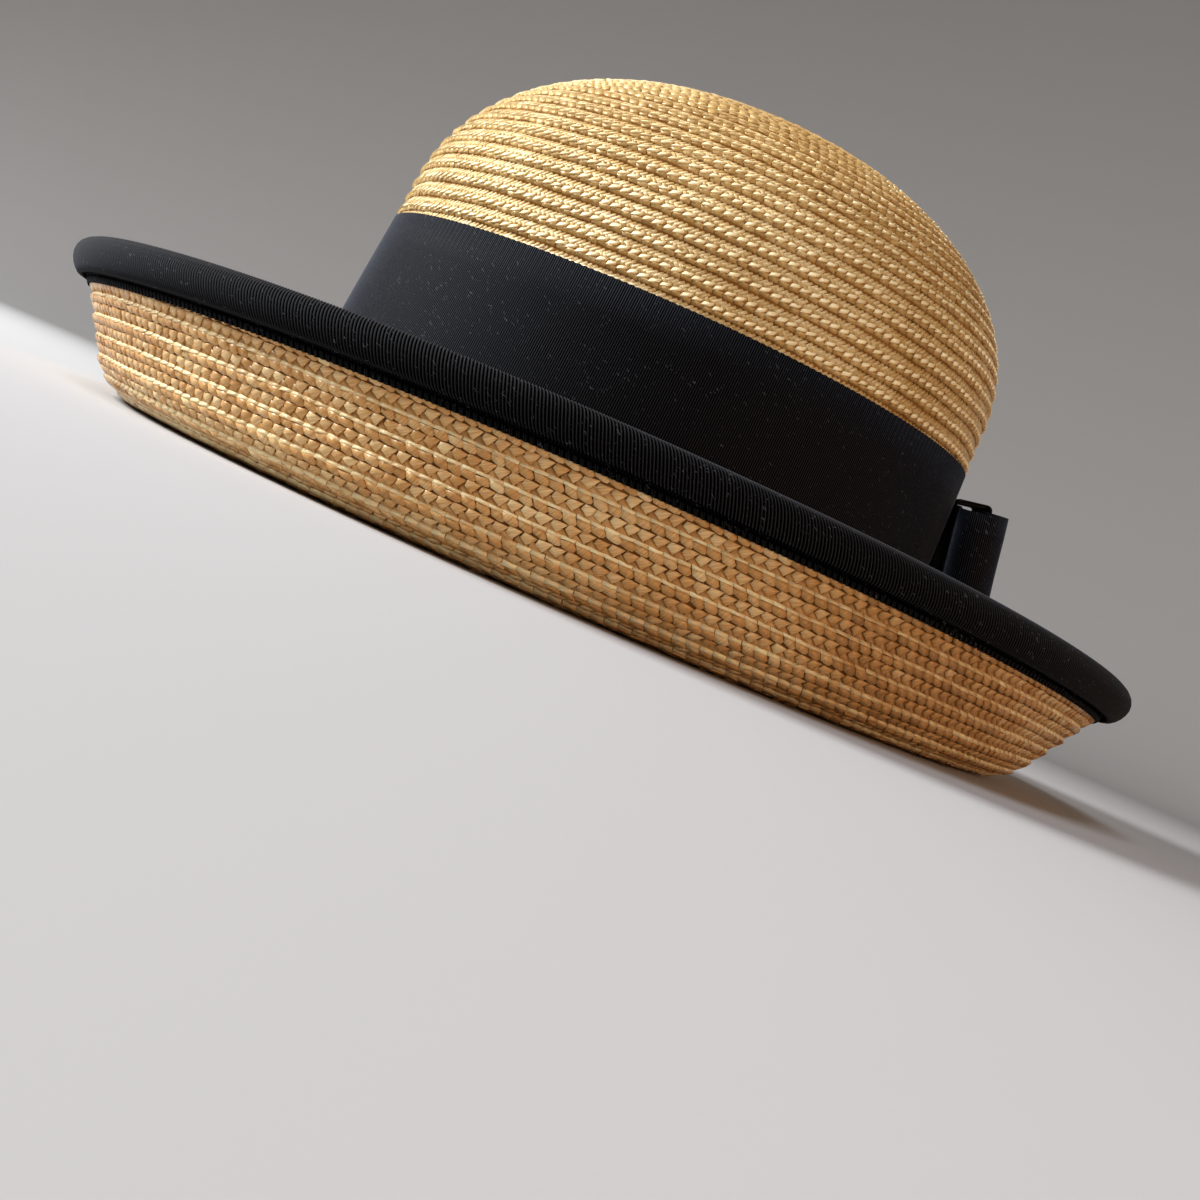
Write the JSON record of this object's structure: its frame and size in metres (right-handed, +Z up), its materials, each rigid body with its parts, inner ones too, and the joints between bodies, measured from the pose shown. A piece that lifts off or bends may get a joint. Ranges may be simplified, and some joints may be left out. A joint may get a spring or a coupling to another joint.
{
  "type": "straw hat with turned-up brim",
  "caption": "Woman's sewn straw braid hat with a domed crown, a brim turned up all round, a wide black ribbon band, a bound edge and a flat bow at the back.",
  "frame": {"origin": "middle of the hat's outline seen from above, on the surface that it rests on", "axes": "+X is the wearer's left, -Y the front, +Z up; the bow is at the back, on +Y"},
  "size_m": [0.2982, 0.3567, 0.1606],
  "materials": {
    "straw_crown": "glossy natural wheat straw braid",
    "straw_brim": "glossy natural wheat straw braid",
    "band_ribbon": "black ribbed ribbon",
    "binding_ribbon": "black ribbed ribbon",
    "bow_ribbon": "black ribbed ribbon"
  },
  "bodies": {
    "root": {"crown": "straw_crown", "brim": "straw_brim", "hat_band": "band_ribbon", "brim_binding": "binding_ribbon", "bow_loop_left": "bow_ribbon", "bow_loop_right": "bow_ribbon", "bow_knot": "bow_ribbon"}
  },
  "joints": []
}
